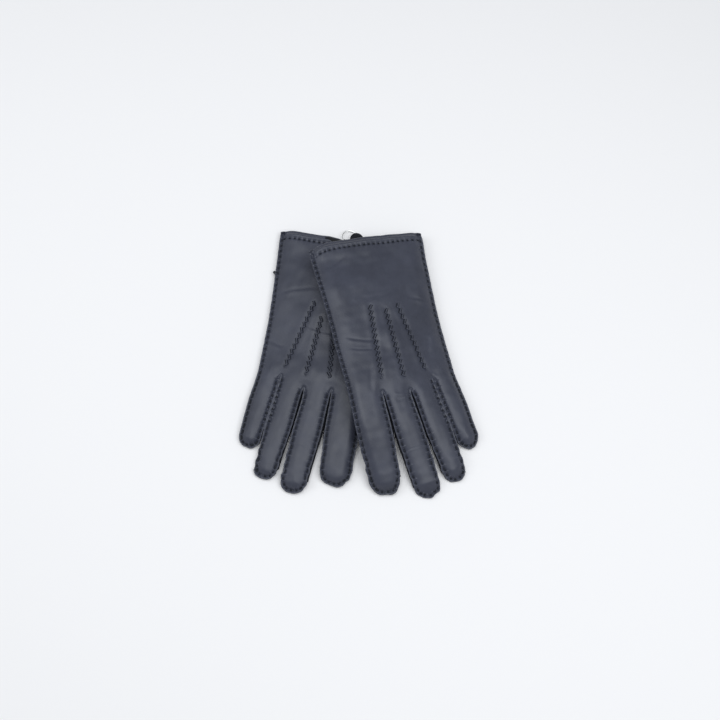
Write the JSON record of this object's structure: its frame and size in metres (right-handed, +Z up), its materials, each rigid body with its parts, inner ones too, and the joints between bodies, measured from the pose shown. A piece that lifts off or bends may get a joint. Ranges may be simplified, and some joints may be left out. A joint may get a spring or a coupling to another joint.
{
  "type": "leather gloves",
  "caption": "Pair of gentlemen's hand-sewn lined leather gloves with raised points and turned hems, laid flat one over the other, with a hanging tab, ring and button.",
  "frame": {"origin": "middle of the pair's footprint, on the table they lie on", "axes": "+Z up, fingers towards -Y, cuffs towards +Y, +X to the right seen from the fingertips"},
  "size_m": [0.211, 0.2546, 0.0423],
  "materials": {
    "back_leather": "satin smooth grain",
    "palm_leather": "satin smooth grain",
    "fourchette": "satin smooth grain",
    "lining": "fine knit",
    "ribbon": "woven ribbon",
    "steel": "bright wire",
    "button": "satin"
  },
  "bodies": {
    "right_hand": {"right_hand_back": "back_leather", "right_hand_palm": "palm_leather", "right_hand_lining": "lining", "right_cuff_hem": "back_leather", "hang_tab": "ribbon"},
    "right_index": {"right_index_back": "back_leather", "right_index_palm": "palm_leather", "right_index_lining": "lining", "right_index_fourchette_out": "fourchette"},
    "right_middle": {"right_middle_back": "back_leather", "right_middle_palm": "palm_leather", "right_middle_lining": "lining", "right_middle_fourchette_in": "fourchette", "right_middle_fourchette_out": "fourchette"},
    "right_ring": {"right_ring_back": "back_leather", "right_ring_palm": "palm_leather", "right_ring_lining": "lining", "right_ring_fourchette_in": "fourchette", "right_ring_fourchette_out": "fourchette"},
    "right_little": {"right_little_back": "back_leather", "right_little_palm": "palm_leather", "right_little_lining": "lining", "right_little_fourchette_in": "fourchette"},
    "right_thumb": {"right_thumb_back": "back_leather", "right_thumb_palm": "palm_leather", "right_thumb_lining": "lining", "right_thumb_collar": "fourchette"},
    "left_hand": {"left_hand_back": "back_leather", "left_hand_palm": "palm_leather", "left_hand_lining": "lining", "left_cuff_hem": "back_leather"},
    "left_index": {"left_index_back": "back_leather", "left_index_palm": "palm_leather", "left_index_lining": "lining", "left_index_fourchette_out": "fourchette"},
    "left_middle": {"left_middle_back": "back_leather", "left_middle_palm": "palm_leather", "left_middle_lining": "lining", "left_middle_fourchette_in": "fourchette", "left_middle_fourchette_out": "fourchette"},
    "left_ring": {"left_ring_back": "back_leather", "left_ring_palm": "palm_leather", "left_ring_lining": "lining", "left_ring_fourchette_in": "fourchette", "left_ring_fourchette_out": "fourchette"},
    "left_little": {"left_little_back": "back_leather", "left_little_palm": "palm_leather", "left_little_lining": "lining", "left_little_fourchette_in": "fourchette"},
    "left_thumb": {"left_thumb_back": "back_leather", "left_thumb_palm": "palm_leather", "left_thumb_lining": "lining", "left_thumb_collar": "fourchette"},
    "ring": {"hang_ring": "steel"},
    "button": {"hang_button": "button"}
  },
  "joints": [
    {"name": "gloves_apart", "type": "slide", "parent": "right_hand", "child": "left_hand", "axis": [0, 0, 1], "range_m": [0, 0.07]},
    {"name": "right_index_bend", "type": "hinge", "parent": "right_hand", "child": "right_index", "pos_m": [-0.0103, -0.04136, 0.00992], "axis": [0.988, -0.1547, 0], "range_deg": [0, 90]},
    {"name": "right_middle_bend", "type": "hinge", "parent": "right_hand", "child": "right_middle", "pos_m": [-0.03799, -0.03925, 0.00961], "axis": [0.9707, -0.2402, 0], "range_deg": [-60, 90]},
    {"name": "right_ring_bend", "type": "hinge", "parent": "right_hand", "child": "right_ring", "pos_m": [-0.06098, -0.03278, 0.00822], "axis": [0.9608, -0.2773, 0], "range_deg": [-60, 90]},
    {"name": "right_little_bend", "type": "hinge", "parent": "right_hand", "child": "right_little", "pos_m": [-0.08185, -0.02359, 0.00551], "axis": [0.9627, -0.2706, 0], "range_deg": [-60, 90]},
    {"name": "right_thumb_unfold", "type": "hinge", "parent": "right_hand", "child": "right_thumb", "pos_m": [-0.00455, 0.03765, 0.0048], "axis": [0, 0, 1], "range_deg": [0, 60]},
    {"name": "left_index_bend", "type": "hinge", "parent": "left_hand", "child": "left_index", "pos_m": [0.00794, -0.04917, 0.03232], "axis": [0.9728, 0.2317, 0], "range_deg": [-60, 0]},
    {"name": "left_middle_bend", "type": "hinge", "parent": "left_hand", "child": "left_middle", "pos_m": [0.03538, -0.04489, 0.02479], "axis": [0.9489, 0.3156, 0], "range_deg": [-60, 74]},
    {"name": "left_ring_bend", "type": "hinge", "parent": "left_hand", "child": "left_ring", "pos_m": [0.0578, -0.03663, 0.01724], "axis": [0.9361, 0.3518, 0], "range_deg": [-60, 74]},
    {"name": "left_little_bend", "type": "hinge", "parent": "left_hand", "child": "left_little", "pos_m": [0.07789, -0.02584, 0.0088], "axis": [0.9385, 0.3453, 0], "range_deg": [-60, 74]},
    {"name": "left_thumb_unfold", "type": "hinge", "parent": "left_hand", "child": "left_thumb", "pos_m": [-0.00398, 0.02916, 0.02586], "axis": [-0.2266, -0.1105, -0.9677], "range_deg": [0, 60]},
    {"name": "ring_swing", "type": "hinge", "parent": "right_hand", "child": "ring", "pos_m": [-0.01413, 0.11601, 0.005], "axis": [0.5736, -0.8192, 0], "range_deg": [0, 15]},
    {"name": "button_swing", "type": "hinge", "parent": "ring", "child": "button", "pos_m": [-0.00224, 0.11694, 0.00282], "axis": [-0.4071, -0.8955, 0.1801], "range_deg": [-15, 24]}
  ]
}
